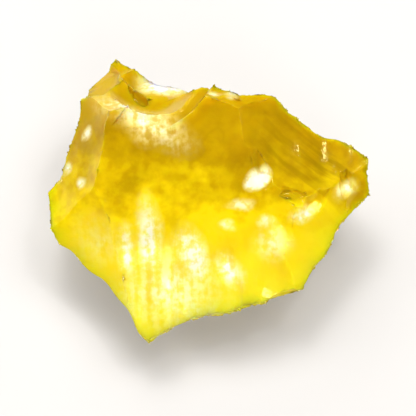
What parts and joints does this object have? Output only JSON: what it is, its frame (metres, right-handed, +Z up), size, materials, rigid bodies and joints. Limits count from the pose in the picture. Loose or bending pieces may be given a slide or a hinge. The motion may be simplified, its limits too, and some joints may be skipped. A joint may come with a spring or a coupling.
{
  "type": "rough agate stone",
  "caption": "Rough translucent yellow agate stone with hollowed, rippled breaks and stepped chips, lying on one flat face.",
  "frame": {"origin": "centre of the stone's box at the flat face that it lies on", "axes": "+X along the stone's longest side, to the right as seen from the front; +Y to its back; +Z up from its flat face"},
  "size_m": [0.032, 0.0286, 0.0162],
  "materials": {
    "agate": "honey-yellow, cloudy and translucent, glassy to waxy on fresh breaks and frosted where they are hackly"
  },
  "bodies": {
    "root": {"agate": "agate"}
  },
  "joints": []
}
